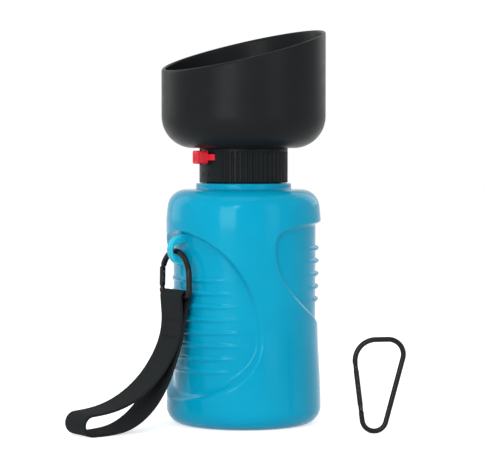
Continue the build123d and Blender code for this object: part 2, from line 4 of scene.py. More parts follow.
import bmesh
import bpy
import numpy as np
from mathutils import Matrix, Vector


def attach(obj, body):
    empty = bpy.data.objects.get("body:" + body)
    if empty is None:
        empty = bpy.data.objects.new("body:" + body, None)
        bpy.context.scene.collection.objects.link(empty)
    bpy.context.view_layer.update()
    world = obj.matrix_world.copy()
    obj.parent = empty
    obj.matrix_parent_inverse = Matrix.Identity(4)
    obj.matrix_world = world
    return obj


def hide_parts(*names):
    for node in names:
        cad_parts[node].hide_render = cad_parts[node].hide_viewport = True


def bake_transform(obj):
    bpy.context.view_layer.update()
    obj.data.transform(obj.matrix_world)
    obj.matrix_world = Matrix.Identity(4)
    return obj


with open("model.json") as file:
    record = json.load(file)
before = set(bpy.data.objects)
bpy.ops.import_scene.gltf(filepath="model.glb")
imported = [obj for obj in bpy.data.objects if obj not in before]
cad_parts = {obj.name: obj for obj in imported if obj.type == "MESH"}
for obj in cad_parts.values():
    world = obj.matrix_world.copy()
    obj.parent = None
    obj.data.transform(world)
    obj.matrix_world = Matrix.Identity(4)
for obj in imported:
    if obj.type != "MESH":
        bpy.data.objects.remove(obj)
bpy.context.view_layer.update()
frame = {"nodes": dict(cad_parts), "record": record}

# Dog travel water bottle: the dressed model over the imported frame. Lengths below are in millimetres, as in the
# part's source, and become metres where a mesh is made. Headings are degrees from the front (-Y) towards +X.

MM = 0.001

# ---- bottle, as in the part's source; the ribs stand a little prouder here
BOTTLE_R = 40.0
BASE_CORNER_R = 9.0
WAIST_R, WAIST_Z = 38.4, 55.0
CHEST_Z = 103.0
SHOULDER_SIDE_R, SHOULDER_LOW_Z = 39.3, 112.8
SHOULDER_ARC_R, SHOULDER_ARC_CENTRE = 9.613, (29.755, 111.655)
SHOULDER_Z = 121.2
FLANGE_R, FLANGE_TOP_Z = 24.6, 124.4
NECK_R, NECK_BORE_R, NECK_TOP_Z = 18.75, 15.5, 134.0
BASE_DISH = ((0.05, 1.2), (8.0, 1.2), (16.0, 1.15), (24.0, 1.0), (27.0, 0.55), (28.6, 0.1), (29.6, 0.0))
INSIDE_SHOULDER = ((22.0, 118.4), (28.0, 118.2), (32.5, 114.5), (33.6, 108.0))
INSIDE_SIDE_AND_BASE = ((33.6, 80.0), (33.6, 50.0), (33.6, 15.0), (31.0, 6.5), (27.0, 3.9), (12.0, 3.9), (0.05, 3.9))
BOTTLE_COLUMNS, BOTTLE_ROW_STEP = 540, 0.5
FRONT_PANEL = dict(low=16.0, wide=45.0, high=99.8, half=69.5, power=2.0, floor_r=36.3, step_low=2.7, step_high=1.2)
BACK_PANEL = dict(low=49.8, wide=91.0, high=104.0, half=97.8, power=4.0, floor_r=37.3, step_low=1.2, step_high=1.1)
PANEL_STEP_LOW_Z, PANEL_STEP_HIGH_Z = 30.0, 70.0
PANEL_STEP_ROUNDING = 0.5
RIB_ROOT_BLEND = 0.35
FRONT_RIB_HALVES = (40.0, 44.0, 49.0, 53.0, 56.0, 52.0, 48.0, 44.0)
FRONT_RIB_TOP_Z, BACK_RIB_TOP_Z = 75.8, 90.9
RIB_PITCH, RIB_R = 6.6, 1.25
FRONT_RIB_PROUD, BACK_RIB_PROUD = 1.4, 2.4
BACK_RIB_COUNT, BACK_RIB_SHARE = 5, 0.70
LUG_Z, LUG_WIDTH, LUG_DISC_R, LUG_DISC_OUT = 91.0, 4.6, 7.9, 37.2
LUG_HOLE_R, LUG_HOLE_OUT = 2.7, 41.2
LUG_ROOT_OUT, LUG_FOOT_FLARE, LUG_EDGE_R = 35.4, 0.4, 0.55
# half heights of the gap between the lug's feet, from the bottle outwards
LUG_GAP = ((35.4, 3.6), (36.6, 3.5), (38.6, 3.1))

# ---- cap and lock, as in the part's source
CAP_R, CAP_TOP_Z = 22.85, 142.5
LEVER_HEADING, LEVER_MID_Z = -5.0, 137.85
LEVER_WIDTH, LEVER_HEIGHT, LEVER_PROUD = 5.4, 6.8, 5.5
GRIP_RIDGE_SINK = 1.0

# ---- bowl, as in the part's source
BOWL_R, BOWL_WALL, BOWL_CORNER_R = 42.4, 2.0, 16.5
BOWL_HOLE_R, BOWL_FLOOR_T = 17.0, 2.2
RIM_AXIS_Z, RIM_SLOPE = 193.1, 0.27

# ---- wrist strap, as in the part's source: the outer leg down from the ring's bar and the inner leg back up
RING_Y, BAR_Z = -41.2, 67.4
STRAP_WIDTH, STRAP_T = 20.0, 1.45
SELVEDGE = 0.55
STRAP_STEP = 0.8
BAR_LOOP_R = 2.725
END_TURN_R = 5.075
OUTER_LEG = (
    (-43.925, 67.4), (-43.425, 61.4), (-42.975, 55.4), (-44.175, 46.9), (-48.0, 38.2),
    (-55.0, 28.4), (-64.0, 20.4), (-74.6, 14.6), (-86.0, 11.475), (-94.125, 10.875),
)
INNER_LEG = (
    (-94.125, 0.725), (-84.0, 0.725), (-71.8, 3.0), (-60.4, 10.8), (-52.0, 22.4),
    (-47.0, 34.4), (-42.825, 46.9), (-41.625, 55.4), (-40.075, 61.4), (-38.475, 67.4),
)

# ---- stitches: one row above and one below where the strap's two legs part
STITCH_ROWS_Z = (55.6, 46.8)
STITCHES_PER_ROW, STITCH_PITCH = 7, 2.8
STITCH_HALF_LENGTH, STITCH_LIFT, THREAD_R = 0.9, 0.10, 0.20

# ---- two-way arrow on the cap
MARK_HEADING, MARK_Z = -2.0, 129.1
MARK_HALF_LENGTH, MARK_HEAD_LENGTH = 4.6, 2.0
MARK_HEAD_HALF, MARK_SHAFT_HALF = 1.2, 0.42
MARK_PROUD, MARK_SUNK = 0.18, 0.12

# ---- camera: where the photograph was taken from
CAMERA_HEADING = 57.0
CAMERA_DISTANCE = 1123.0
CAMERA_HEIGHT = 144.1
CAMERA_PITCH = 2.322
CAMERA_YAW = 0.042
CAMERA_LENS = 161.4

# ---- light: name, degrees from the camera's heading, elevation, then distance, width and height in metres, watts
SOFTBOXES = (
    ("softbox_left", -23, 6, 1.0, 0.42, 0.34, 3.6),
    ("small_front", -9, 20, 1.1, 0.12, 0.12, 1.6),
    ("strip_right", 44, 8, 1.3, 0.45, 1.1, 3.0),
    ("overhead", -10, 66, 1.2, 0.9, 0.7, 3.0),
    ("rear_left", -120, 20, 1.4, 0.7, 1.0, 3.0),
    ("rear_right", 140, 25, 1.4, 0.7, 1.0, 2.5),
)
LIGHT_TARGET_Z = 110.0
WORLD_LIGHT = (0.50, 0.51, 0.52, 1.0)
WHITE = (1.0, 1.0, 1.0, 1.0)
FLOOR_HALF = 4000.0
FLOOR_TONE, FLOOR_LIFT = 0.80, 0.66


# ================================================================ mesh helpers

def new_mesh(name, points_mm, faces):
    """Smooth-shaded mesh object from points in millimetres."""
    mesh = bpy.data.meshes.new(name)
    mesh.from_pydata((np.asarray(points_mm, float) * MM).tolist(), [], faces)
    mesh.update()
    mesh.polygons.foreach_set("use_smooth", [True] * len(mesh.polygons))
    obj = bpy.data.objects.new(name, mesh)
    bpy.context.scene.collection.objects.link(obj)
    return obj


def smooth_object(name, bm):
    """Smooth-shaded mesh object from a bmesh, which is freed."""
    mesh = bpy.data.meshes.new(name)
    bm.to_mesh(mesh)
    bm.free()
    mesh.polygons.foreach_set("use_smooth", [True] * len(mesh.polygons))
    obj = bpy.data.objects.new(name, mesh)
    bpy.context.scene.collection.objects.link(obj)
    return obj


def grid_faces(rows, columns, wrap_rows=False):
    """Quads of a grid of points counted row by row. Its columns wrap round, and its rows do where asked."""
    faces = []
    for i in range(rows if wrap_rows else rows - 1):
        below, above = i * columns, ((i + 1) % rows) * columns
        for j in range(columns):
            k = (j + 1) % columns
            faces.append((below + j, below + k, above + k, above + j))
    return faces


def around(heading_deg, radius, z):
    """Points at headings from the front about the bottle's axis."""
    angle = np.radians(heading_deg)
    return np.stack([radius * np.sin(angle), -radius * np.cos(angle), z + 0 * radius], axis=-1)


def bezier_chain(points, steps):
    """Smooth line through a control polygon: a parabola round each inner corner, from mid-run to mid-run."""
    pts = [np.array(p, float) for p in points]
    joints = [pts[0]] + [(a + b) / 2 for a, b in zip(pts[1:-2], pts[2:-1])] + [pts[-1]]
    line = [joints[0]]
    for start, corner, end in zip(joints, pts[1:-1], joints[1:]):
        for i in range(1, steps + 1):
            t = i / steps
            line.append((1 - t) ** 2 * start + 2 * t * (1 - t) * corner + t**2 * end)
    return line


def arc(centre, radius, start_deg, end_deg, steps):
    """Points of an arc in a plane, both ends included."""
    angles = np.radians(np.linspace(start_deg, end_deg, steps + 1))
    return [np.array([centre[0] + radius * math.cos(a), centre[1] + radius * math.sin(a)]) for a in angles]


def resample(line, step):
    """Points at even steps along a closed line."""
    pts = np.array(line)
    pts = np.vstack([pts, pts[:1]])
    lengths = np.linalg.norm(np.diff(pts, axis=0), axis=1)
    pts = pts[np.concatenate([[True], lengths > 1e-6])]
    travelled = distances_along(pts)
    count = max(2, int(round(travelled[-1] / step)))
    at = np.linspace(0, travelled[-1], count + 1)[:-1]
    return np.stack([np.interp(at, travelled, pts[:, k]) for k in range(pts.shape[1])], axis=-1)


def distances_along(pts):
    """Distance from a line's first point to each of its points."""
    return np.concatenate([[0], np.cumsum(np.linalg.norm(np.diff(pts, axis=0), axis=1))])


def smooth_step(t):
    t = np.clip(t, 0, 1)
    return t * t * (3 - 2 * t)


def smooth_max(a, b, blend):
    return np.maximum(a, b) + np.maximum(blend - np.abs(a - b), 0) ** 2 / (4 * blend)


def give(obj, material, body, *replaced, slot=None):
    """Finish a piece: its material, the body that it rides on and the CAD nodes that it stands for."""
    obj.data.materials.clear()
    obj.data.materials.append(material)
    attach(obj, body)
    if replaced:
        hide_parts(*replaced)
    return obj


# ================================================================ materials

class Nodes:
    """Short calls for a material's nodes."""

    def __init__(self, name):
        self.material = bpy.data.materials.new(name)
        self.material.use_nodes = True
        self.tree = self.material.node_tree
        self.shader = self.tree.nodes["Principled BSDF"]
        self.place = self.tree.nodes.new("ShaderNodeTexCoord").outputs["Object"]

    def link(self, output, socket):
        self.tree.links.new(output, socket)

    def set(self, **values):
        for key, value in values.items():
            self.shader.inputs[key.replace("_", " ")].default_value = value

    def noise(self, scale, detail=3.0, roughness=0.5):
        node = self.tree.nodes.new("ShaderNodeTexNoise")
        node.inputs["Scale"].default_value = scale
        node.inputs["Detail"].default_value = detail
        node.inputs["Roughness"].default_value = roughness
        self.link(self.place, node.inputs["Vector"])
        return node.outputs["Fac"]

    def spread(self, value, low, high, out_low, out_high):
        node = self.tree.nodes.new("ShaderNodeMapRange")
        for key, number in (("From Min", low), ("From Max", high), ("To Min", out_low), ("To Max", out_high)):
            node.inputs[key].default_value = number
        self.link(value, node.inputs["Value"])
        return node.outputs["Result"]

    def maths(self, operation, a, b=None):
        node = self.tree.nodes.new("ShaderNodeMath")
        node.operation = operation
        for socket, value in zip(node.inputs, (a, b)):
            if value is None:
                continue
            if isinstance(value, (int, float)):
                socket.default_value = value
            else:
                self.link(value, socket)
        return node.outputs[0]

    def mix(self, factor, first, second):
        node = self.tree.nodes.new("ShaderNodeMix")
        node.data_type = "RGBA"
        self.link(factor, node.inputs["Factor"])
        for socket, value in ((node.inputs[6], first), (node.inputs[7], second)):
            if isinstance(value, tuple):
                socket.default_value = (*value, 1.0)
            else:
                self.link(value, socket)
        return node.outputs[2]

    def bump(self, height, distance, strength=1.0, normal=None):
        node = self.tree.nodes.new("ShaderNodeBump")
        node.inputs["Distance"].default_value = distance
        node.inputs["Strength"].default_value = strength
        self.link(height, node.inputs["Height"])
        if normal is not None:
            self.link(normal, node.inputs["Normal"])
        return node.outputs["Normal"]

    def rounded_edges(self, radius):
        node = self.tree.nodes.new("ShaderNodeBevel")
        node.samples = 6
        node.inputs["Radius"].default_value = radius
        return node.outputs["Normal"]

    def open_side(self, distance):
        """How open the surface is within a distance: 1 on tops and 0 deep in grooves."""
        node = self.tree.nodes.new("ShaderNodeAmbientOcclusion")
        node.samples = 8
        node.inputs["Distance"].default_value = distance
        return node.outputs["AO"]

    def edge_wear_and_edge_highlight(self, low, high):
        """Where the mesh is convex: 0 on flats and 1 on edges."""
        node = self.tree.nodes.new("ShaderNodeNewGeometry")
        return self.spread(node.outputs["Pointiness"], low, high, 0.0, 1.0)


def bottle_plastic():
    """Soft squeeze plastic: glossy, a little milky, with the faint cloudiness of a blown wall."""
    n = Nodes("bottle_plastic_blown")
    cloud = n.spread(n.noise(38.0, 2.0), 0.35, 0.65, 0.0, 1.0)
    n.link(n.mix(cloud, (0.001, 0.312, 0.500), (0.002, 0.334, 0.525)), n.shader.inputs["Base Color"])
    n.link(n.spread(n.noise(420.0, 4.0), 0.3, 0.7, 0.11, 0.17), n.shader.inputs["Roughness"])
    n.set(Subsurface_Weight=0.16, Subsurface_Radius=(0.1, 0.7, 1.0), Subsurface_Scale=0.004, IOR=1.5)
    n.set(Specular_IOR_Level=0.12, Specular_Tint=(0.5, 1.0, 0.9, 1.0))
    n.link(n.bump(n.noise(900.0, 2.0), 0.00002, 0.5), n.shader.inputs["Normal"])
    return n.material


def lug_plastic():
    """The same plastic where it is thin, painted lighter than the bottle for the light that passes through it, with a
    painted highlight on its convex edges.
    """
    n = Nodes("bottle_plastic_thin")
    cloud = n.spread(n.noise(180.0, 2.0), 0.35, 0.65, 0.0, 1.0)
    body = n.mix(cloud, (0.002, 0.380, 0.560), (0.004, 0.420, 0.600))
    # painted highlight: the lug's convex edges are mixed towards a pale cyan
    n.link(n.mix(n.edge_wear_and_edge_highlight(0.51, 0.58), body, (0.045, 0.680, 0.760)), n.shader.inputs["Base Color"])
    n.link(n.spread(n.noise(500.0, 3.0), 0.3, 0.7, 0.24, 0.32), n.shader.inputs["Roughness"])
    n.set(Subsurface_Weight=0.4, Subsurface_Radius=(0.1, 0.8, 1.0), Subsurface_Scale=0.003, IOR=1.5)
    n.set(Specular_IOR_Level=0.14, Specular_Tint=(0.45, 1.0, 0.9, 1.0))
    n.link(n.bump(n.noise(1200.0, 2.0), 0.00002, 0.5), n.shader.inputs["Normal"])
    return n.material


def black_plastic(name, tone, roughness, grain, edge_radius=0.00025):
    """Moulded plastic with a spark-eroded grain, and painted shade: ambient occlusion paints open tops a little paler
    and grooves dark.
    """
    n = Nodes(name)
    patch = n.spread(n.noise(60.0, 3.0), 0.3, 0.7, 0.0, 1.0)
    body = n.mix(patch, tuple(c * 1.1 for c in tone), tuple(c * 1.5 for c in tone))
    painted_groove_shade = tuple(c * 0.25 for c in tone)
    # painted shade: the colour goes from a dark shade deep in grooves to the paler body on open tops
    n.link(n.mix(n.spread(n.open_side(0.0014), 0.45, 0.92, 0.0, 1.0), painted_groove_shade, body), n.shader.inputs["Base Color"])
    n.link(n.spread(n.noise(300.0, 4.0), 0.3, 0.7, roughness - 0.05, roughness + 0.06), n.shader.inputs["Roughness"])
    n.set(IOR=1.48, Specular_IOR_Level=0.05)
    n.link(n.bump(n.noise(grain, 3.0), 0.00004, 0.6, n.rounded_edges(edge_radius)), n.shader.inputs["Normal"])
    return n.material


def red_plastic():
    """Bright moulded plastic of the lock lever."""
    n = Nodes("lock_plastic_red")
    patch = n.spread(n.noise(150.0, 2.0), 0.35, 0.65, 0.0, 1.0)
    n.link(n.mix(patch, (0.72, 0.016, 0.036), (0.80, 0.022, 0.044)), n.shader.inputs["Base Color"])
    n.link(n.spread(n.noise(500.0, 3.0), 0.3, 0.7, 0.32, 0.42), n.shader.inputs["Roughness"])
    n.set(IOR=1.48, Subsurface_Weight=0.1, Subsurface_Radius=(1.0, 0.2, 0.1), Subsurface_Scale=0.001)
    n.set(Specular_IOR_Level=0.3)
    n.link(n.bump(n.noise(1500.0, 2.0), 0.00003, 0.5, n.rounded_edges(0.0002)), n.shader.inputs["Normal"])
    return n.material


def pale_plastic():
    """Uncoloured plastic of the valve disc."""
    n = Nodes("valve_plastic_natural")
    patch = n.spread(n.noise(90.0, 3.0), 0.3, 0.7, 0.0, 1.0)
    n.link(n.mix(patch, (0.70, 0.70, 0.67), (0.80, 0.79, 0.76)), n.shader.inputs["Base Color"])
    n.link(n.spread(n.noise(400.0, 3.0), 0.3, 0.7, 0.40, 0.50), n.shader.inputs["Roughness"])
    n.set(Subsurface_Weight=0.2, Subsurface_Radius=(1.0, 0.9, 0.8), Subsurface_Scale=0.002)
    n.link(n.bump(n.noise(1400.0, 2.0), 0.00003, 0.5, n.rounded_edges(0.0002)), n.shader.inputs["Normal"])
    return n.material


def clear_rubber():
    """Milky silicone of the seals."""
    n = Nodes("seal_rubber_milky")
    patch = n.spread(n.noise(110.0, 3.0), 0.3, 0.7, 0.0, 1.0)
    n.link(n.mix(patch, (0.66, 0.68, 0.68), (0.76, 0.77, 0.77)), n.shader.inputs["Base Color"])
    n.link(n.spread(n.noise(500.0, 3.0), 0.3, 0.7, 0.45, 0.58), n.shader.inputs["Roughness"])
    n.set(Subsurface_Weight=0.3, Subsurface_Radius=(1.0, 1.0, 1.0), Subsurface_Scale=0.002)
    n.link(n.bump(n.noise(1600.0, 2.0), 0.00003, 0.5), n.shader.inputs["Normal"])
    return n.material


def black_silicone():
    """Matt silicone rubber with a fine dusty grain."""
    n = Nodes("bowl_silicone_matt")
    dust = n.spread(n.noise(26.0, 5.0, 0.6), 0.35, 0.7, 0.0, 1.0)
    n.link(n.mix(dust, (0.0105, 0.0120, 0.0126), (0.0136, 0.0154, 0.0162)), n.shader.inputs["Base Color"])
    n.link(n.spread(n.noise(240.0, 4.0), 0.3, 0.7, 0.30, 0.38), n.shader.inputs["Roughness"])
    n.set(IOR=1.42, Specular_IOR_Level=0.07)
    n.link(n.bump(n.noise(1800.0, 3.0), 0.00004, 0.5), n.shader.inputs["Normal"])
    return n.material


def painted_wire():
    """Black coated wire: satin paint over metal, worn a little where it rubs."""
    n = Nodes("ring_metal_painted")
    worn = n.maths("MULTIPLY", n.edge_wear_and_edge_highlight(0.56, 0.66), n.spread(n.noise(700.0, 4.0), 0.5, 0.7, 0.0, 1.0))
    patch = n.spread(n.noise(200.0, 3.0), 0.3, 0.7, 0.0, 1.0)
    paint = n.mix(patch, (0.0030, 0.0034, 0.0038), (0.0060, 0.0066, 0.0074))
    n.link(n.mix(worn, paint, (0.05, 0.05, 0.053)), n.shader.inputs["Base Color"])
    n.link(n.spread(n.noise(900.0, 4.0), 0.3, 0.7, 0.22, 0.32), n.shader.inputs["Roughness"])
    n.set(IOR=1.5, Specular_IOR_Level=0.18)
    n.link(n.bump(n.noise(2200.0, 3.0), 0.00003, 0.6, n.rounded_edges(0.00015)), n.shader.inputs["Normal"])
    return n.material


def plain_steel():
    """Blackened drawn steel of the pins and springs."""
    n = Nodes("pin_steel_drawn")
    patch = n.spread(n.noise(800.0, 4.0), 0.3, 0.7, 0.0, 1.0)
    n.link(n.mix(patch, (0.045, 0.046, 0.048), (0.090, 0.091, 0.094)), n.shader.inputs["Base Color"])
    n.link(n.spread(n.noise(1600.0, 3.0), 0.3, 0.7, 0.25, 0.40), n.shader.inputs["Roughness"])
    n.set(Metallic=1.0)
    n.link(n.bump(n.noise(3000.0, 2.0), 0.00002, 0.5), n.shader.inputs["Normal"])
    return n.material


def black_webbing():
    """Plain-woven nylon webbing. The mesh's UV map holds millimetres: across the band and along it."""
    n = Nodes("strap_webbing_black")
    uv = n.tree.nodes.new("ShaderNodeUVMap")
    uv.uv_map = "band"
    split = n.tree.nodes.new("ShaderNodeSeparateXYZ")
    n.link(uv.outputs["UV"], split.inputs["Vector"])
    across, along = split.outputs["X"], split.outputs["Y"]
    warp = n.maths("SINE", n.maths("MULTIPLY", across, math.tau / 1.3))
    weft = n.maths("SINE", n.maths("MULTIPLY", along, math.tau / 1.1))
    weave = n.maths("MULTIPLY", warp, weft)
    fibres = n.noise(2600.0, 3.0, 0.6)
    height = n.maths("ADD", n.maths("MULTIPLY", weave, 0.5), n.maths("MULTIPLY", fibres, 0.6))
    # painted shade and highlight: the weave's hollows are darker and its raised yarns paler, with random fibre tone
    # mixed in
    tone = n.spread(height, -0.3, 0.9, 0.0, 1.0)
    faded = n.spread(n.noise(55.0, 4.0, 0.6), 0.35, 0.7, 0.0, 1.0)
    dark = n.mix(faded, (0.0056, 0.0068, 0.0076), (0.0088, 0.0102, 0.0112))
    n.link(n.mix(tone, dark, (0.0200, 0.0228, 0.0244)), n.shader.inputs["Base Color"])
    n.link(n.spread(fibres, 0.3, 0.7, 0.72, 0.88), n.shader.inputs["Roughness"])
    n.set(Specular_IOR_Level=0.06)
    n.link(n.bump(height, 0.00016, 0.8), n.shader.inputs["Normal"])
    return n.material


def sewing_thread():
    """Twisted black thread."""
    n = Nodes("strap_thread_black")
    twist = n.tree.nodes.new("ShaderNodeTexWave")
    twist.inputs["Scale"].default_value = 900.0
    twist.inputs["Distortion"].default_value = 1.5
    n.link(n.place, twist.inputs["Vector"])
    # painted shade: the twist's grooves are darker and its plies paler, following the wave that also drives the bump
    n.link(n.mix(twist.outputs["Fac"], (0.004, 0.005, 0.006), (0.010, 0.012, 0.013)), n.shader.inputs["Base Color"])
    n.link(n.spread(n.noise(2500.0), 0.3, 0.7, 0.5, 0.65), n.shader.inputs["Roughness"])
    n.set(Specular_IOR_Level=0.08)
    n.link(n.bump(twist.outputs["Fac"], 0.00008, 0.7), n.shader.inputs["Normal"])
    return n.material


# ================================================================ bottle

def panel_distance(heading, z, panel):
    """Millimetres outside an egg-shaped panel's outline, negative inside it."""
    below = z < panel["wide"]
    span = np.where(below, panel["wide"] - panel["low"], panel["high"] - panel["wide"])
    power = np.where(below, 2.0, panel["power"])
    up = np.abs(z - panel["wide"]) / span
    aside = np.abs(heading) / panel["half"]
    reach = np.maximum((aside**power + up**power) ** (1 / power), 1e-3)
    slope_aside = (aside / reach) ** (power - 1) / (math.radians(panel["half"]) * panel["floor_r"])
    slope_up = (up / reach) ** (power - 1) / span
    return (reach - 1) / np.maximum(np.hypot(slope_aside, slope_up), 1e-6)


def rib_radius(heading, z, rib_z, surface_r, proud, half_deg):
    """Radius of a rib's surface: a round ridge on a ring set nearer the panel, so that its ends sink in."""
    crest = surface_r + proud
    shift = (crest**2 - surface_r**2) / (2 * (crest - surface_r * math.cos(math.radians(half_deg))))
    angle = np.radians(heading)
    inside = np.maximum((crest - shift) ** 2 - (shift * np.sin(angle)) ** 2, 0)
    ridge = shift * np.cos(angle) + np.sqrt(inside)
    drop = np.sqrt(np.maximum(RIB_R**2 - (z - rib_z) ** 2, 0)) - RIB_R
    near = (np.abs(z - rib_z) < RIB_R) & (np.abs(heading) < 90)
    return np.where(near, ridge + drop, 0)


def bevel_step(t):
    """0 to 1 along a straight slope with tightly rounded ends."""
    return smooth_max(t, 0, PANEL_STEP_ROUNDING) - smooth_max(t - 1, 0, PANEL_STEP_ROUNDING)


def panelled(heading, z, radius):
    """Outer radius of the bottle's side with its two recessed panels and their ribs."""
    from_back = 180 - np.abs(heading)
    for panel, angle in ((FRONT_PANEL, heading), (BACK_PANEL, from_back)):
        # the step round a panel widens below the waist
        low_share = smooth_step((PANEL_STEP_HIGH_Z - z) / (PANEL_STEP_HIGH_Z - PANEL_STEP_LOW_Z))
        width = panel["step_high"] + (panel["step_low"] - panel["step_high"]) * low_share
        outside = bevel_step(panel_distance(angle, z, panel) / width + 0.5)
        radius = panel["floor_r"] + (radius - panel["floor_r"]) * outside
    for i, half in enumerate(FRONT_RIB_HALVES):
        rib = rib_radius(heading, z, FRONT_RIB_TOP_Z - i * RIB_PITCH, FRONT_PANEL["floor_r"], FRONT_RIB_PROUD, half)
        radius = smooth_max(radius, rib, RIB_ROOT_BLEND)
    for i in range(BACK_RIB_COUNT):
        rib_z = BACK_RIB_TOP_Z - i * RIB_PITCH
        up = abs(rib_z - BACK_PANEL["wide"]) / (BACK_PANEL["wide"] - BACK_PANEL["low"])
        half = BACK_RIB_SHARE * BACK_PANEL["half"] * math.sqrt(1 - up**2)
        rib = rib_radius(from_back, z, rib_z, BACK_PANEL["floor_r"], BACK_RIB_PROUD, half)
        radius = smooth_max(radius, rib, RIB_ROOT_BLEND)
    return radius


def hermite(z, z0, r0, s0, z1, r1, s1):
    """Cubic between two heights with given radii and slopes."""
    h = z1 - z0
    t = (z - z0) / h
    return (
        (2 * t**3 - 3 * t**2 + 1) * r0
        + (t**3 - 2 * t**2 + t) * h * s0
        + (3 * t**2 - 2 * t**3) * r1
        + (t**3 - t**2) * h * s1
    )


def side_profile(step):
    """Radius and height up the bottle's side, between its base corner and its shoulder."""
    rows = []
    for z in np.arange(BASE_CORNER_R + step, SHOULDER_LOW_Z, step):
        if z < WAIST_Z:
            radius = hermite(z, BASE_CORNER_R, BOTTLE_R, 0, WAIST_Z, WAIST_R, 0)
        elif z < CHEST_Z:
            radius = hermite(z, WAIST_Z, WAIST_R, 0, CHEST_Z, BOTTLE_R, 0.012)
        else:
            radius = hermite(z, CHEST_Z, BOTTLE_R, 0.012, SHOULDER_LOW_Z, SHOULDER_SIDE_R, -0.12)
        rows.append((min(radius, BOTTLE_R), z))
    return rows


def bottle_profile():
    """Radius and height all the way round the bottle's wall, from the middle of its base and back to it inside."""
    outside = list(BASE_DISH)
    corner = [tuple(p) for p in arc((BOTTLE_R - BASE_CORNER_R, BASE_CORNER_R), BASE_CORNER_R, -90, 0, 22)]
    side = side_profile(BOTTLE_ROW_STEP)
    shoulder = [tuple(p) for p in arc(SHOULDER_ARC_CENTRE, SHOULDER_ARC_R, 6.84, 83.16, 18)]
    root = FLANGE_R + 0.9
    neck = [(28.5, 121.28), (26.6, 121.3)]
    neck += [tuple(p) for p in arc((root, SHOULDER_Z + 1.0), 0.9, -90, -180, 5)]
    neck += [(FLANGE_R, 123.0)]
    neck += [tuple(p) for p in arc((FLANGE_R - 0.5, FLANGE_TOP_Z - 0.5), 0.5, 0, 90, 5)]
    neck += [(NECK_R + 0.4, FLANGE_TOP_Z), (NECK_R, FLANGE_TOP_Z + 0.4), (NECK_R, 128.0), (NECK_R, NECK_TOP_Z - 0.5)]
    neck += [(NECK_R - 0.5, NECK_TOP_Z), (NECK_BORE_R + 0.4, NECK_TOP_Z), (NECK_BORE_R, NECK_TOP_Z - 0.4)]
    inside = [(NECK_BORE_R, 122.0), (NECK_BORE_R + 0.6, 119.6), *INSIDE_SHOULDER, *INSIDE_SIDE_AND_BASE]
    return outside + corner + side + shoulder + neck + inside


def make_bottle(material):
    """Wall of the bottle, turned from its profile, with the panels and ribs worked into its side."""
    columns = BOTTLE_COLUMNS
    headings = np.linspace(-180, 180, columns, endpoint=False)
    rows = bottle_profile()
    points = []
    inner = False
    for radius, z in rows:
        inner = inner or (z > NECK_TOP_Z - 0.3)
        radii = np.full(columns, float(radius))
        if not inner and BASE_CORNER_R < z < SHOULDER_LOW_Z:
            radii = panelled(headings, np.full(columns, float(z)), radii)
        points.append(around(headings, radii, z))
    points = np.concatenate(points)
    return new_mesh("bottle_wall", points, grid_faces(len(rows), columns))


def make_neck_thread():
    """Ridge that winds up the neck, thinning out at both ends."""
    turns, start_z, pitch = 1.25, 126.6, 4.0
    steps = 160
    section = [(-0.4, -1.1), (0.55, -0.95), (1.15, -0.5), (1.15, 0.5), (0.55, 0.95), (-0.4, 1.1)]
    points = []
    for i in range(steps + 1):
        share = i / steps
        fade = min(1.0, share / 0.06, (1 - share) / 0.06)
        heading = 90 + 360 * turns * share
        for out, up in section:
            radius = NECK_R + (out if out < 0 else out * fade)
            z = start_z + pitch * turns * share + up * max(fade, 0.2)
            points.append(around(heading, np.float64(radius), z))
    faces = grid_faces(steps + 1, len(section))
    faces += [tuple(range(len(section)))[::-1], tuple(range(steps * len(section), (steps + 1) * len(section)))]
    return new_mesh("neck_thread", np.array(points), faces)


def bevelled_plate(name, outline, width, bevel, segments=4):
    """Flat outline in (outward, height) made into a plate across X, with rounded edges."""
    bm = bmesh.new()
    left = [bm.verts.new(Vector((-width / 2, -out, z)) * MM) for out, z in outline]
    right = [bm.verts.new(Vector((width / 2, -out, z)) * MM) for out, z in outline]
    bm.faces.new(left)
    bm.faces.new(right[::-1])
    count = len(outline)
    for i in range(count):
        j = (i + 1) % count
        bm.faces.new((left[j], left[i], right[i], right[j]))
    bmesh.ops.recalc_face_normals(bm, faces=bm.faces)
    rims = [e for e in bm.edges if len({v.co.x > 0 for v in e.verts}) == 1]
    bmesh.ops.bevel(bm, geom=rims, offset=bevel * MM, segments=segments, profile=0.5, affect="EDGES")
    return smooth_object(name, bm)


def make_lug():
    """Loop that holds the snap ring: a C with its two feet on the bottle."""
    outline = []
    for angle in np.linspace(98, -98, 40):
        a = math.radians(angle)
        outline.append((LUG_DISC_OUT + LUG_DISC_R * math.cos(a), LUG_Z + LUG_DISC_R * math.sin(a)))
    outline.append((LUG_ROOT_OUT, LUG_Z - LUG_DISC_R - LUG_FOOT_FLARE))
    outline += [(out, LUG_Z - half) for out, half in LUG_GAP]
    for angle in np.linspace(-80, 80, 18):
        a = math.radians(angle)
        outline.append((LUG_HOLE_OUT + LUG_HOLE_R * math.cos(a), LUG_Z + LUG_HOLE_R * math.sin(a)))
    outline += [(out, LUG_Z + half) for out, half in LUG_GAP[::-1]]
    outline.append((LUG_ROOT_OUT, LUG_Z + LUG_DISC_R + LUG_FOOT_FLARE))
    return bevelled_plate("ring_lug", outline, LUG_WIDTH, LUG_EDGE_R)


# ================================================================ bowl

